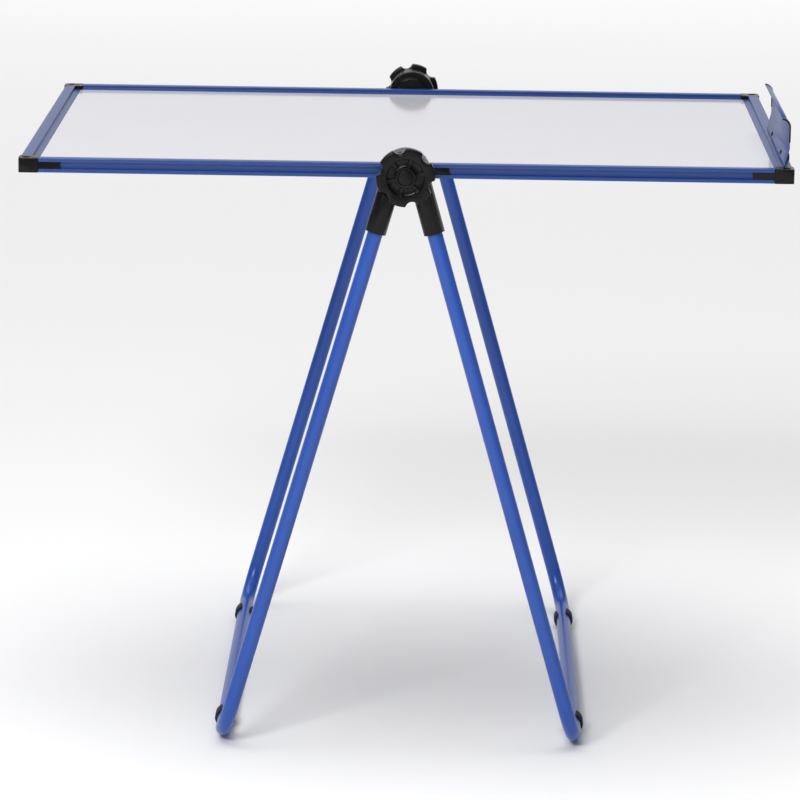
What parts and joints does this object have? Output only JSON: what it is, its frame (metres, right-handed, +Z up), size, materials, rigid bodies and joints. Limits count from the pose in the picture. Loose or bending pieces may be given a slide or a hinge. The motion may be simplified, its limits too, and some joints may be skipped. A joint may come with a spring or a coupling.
{
  "type": "tilting whiteboard easel",
  "caption": "Framed double-sided writing board on a folding tube stand, tilted flat like a table, with clamp knobs and a clip-on pen tray.",
  "frame": {"origin": "on the floor, under the middle of the stand", "axes": "+X along the board's length towards the pen tray, +Y away from the near knob, +Z up"},
  "size_m": [0.9, 0.699, 0.7597],
  "materials": {
    "blue_tube": "gloss",
    "blue_rail": "satin",
    "blue_tray": "satin",
    "writing_steel": "gloss",
    "core_board": "matte",
    "black_plastic": "satin",
    "rubber": "matte",
    "black_steel": "satin",
    "zinc_steel": "satin"
  },
  "bodies": {
    "left_leg": {"left_leg_frame": "blue_tube", "near_left_socket": "black_plastic", "near_left_socket_screw": "zinc_steel", "near_left_foot": "rubber", "far_left_socket": "black_plastic", "far_left_socket_screw": "zinc_steel", "far_left_foot": "rubber"},
    "right_leg": {"right_leg_frame": "blue_tube", "near_right_socket": "black_plastic", "near_right_socket_screw": "zinc_steel", "near_right_foot": "rubber", "far_right_socket": "black_plastic", "far_right_socket_screw": "zinc_steel", "far_right_foot": "rubber"},
    "hub": {"near_slide_block": "black_plastic", "near_hub_bolt": "zinc_steel", "near_hub_spacer": "black_plastic", "near_hub_washer": "zinc_steel", "far_slide_block": "black_plastic", "far_hub_bolt": "zinc_steel", "far_hub_spacer": "black_plastic", "far_hub_washer": "zinc_steel"},
    "near_knob": {"near_knob_body": "black_plastic", "near_knob_cap": "black_plastic", "near_knob_nut": "zinc_steel"},
    "far_knob": {"far_knob_body": "black_plastic", "far_knob_cap": "black_plastic", "far_knob_nut": "zinc_steel"},
    "board": {"writing_sheet_top": "writing_steel", "board_core": "core_board", "writing_sheet_bottom": "writing_steel", "near_rail": "blue_rail", "far_rail": "blue_rail", "left_rail": "blue_rail", "right_rail": "blue_rail", "near_right_corner_block": "black_plastic", "far_right_corner_block": "black_plastic", "far_left_corner_block": "black_plastic", "near_left_corner_block": "black_plastic", "near_right_corner_screw": "zinc_steel", "far_right_corner_screw": "zinc_steel", "far_left_corner_screw": "zinc_steel", "near_left_corner_screw": "zinc_steel"},
    "tray": {"pen_tray": "blue_tray", "tray_clip_1": "black_plastic", "tray_clip_2": "black_plastic", "tray_rivet_1": "black_steel", "tray_rivet_2": "black_steel", "tray_near_trim": "black_plastic", "tray_far_trim": "black_plastic"}
  },
  "joints": [
    {"name": "leg_fold", "type": "hinge", "parent": "left_leg", "child": "right_leg", "pos_m": [0, 0, 0.695], "axis": [0, 1, 0], "range_deg": [0, 32]},
    {"name": "board_tilt", "type": "hinge", "parent": "left_leg", "child": "hub", "pos_m": [0, 0, 0.695], "axis": [0, 1, 0], "continuous": true},
    {"name": "board_slide", "type": "slide", "parent": "hub", "child": "board", "axis": [1, 0, 0], "range_m": [-0.2, 0.2]},
    {"name": "near_knob_turn", "type": "hinge", "parent": "hub", "child": "near_knob", "pos_m": [0, -0.342, 0.695], "axis": [0, -1, 0], "continuous": true},
    {"name": "far_knob_turn", "type": "hinge", "parent": "hub", "child": "far_knob", "pos_m": [0, 0.342, 0.695], "axis": [0, 1, 0], "continuous": true},
    {"name": "tray_slide", "type": "slide", "parent": "board", "child": "tray", "axis": [0, 1, 0], "range_m": [0, 0.27]}
  ]
}
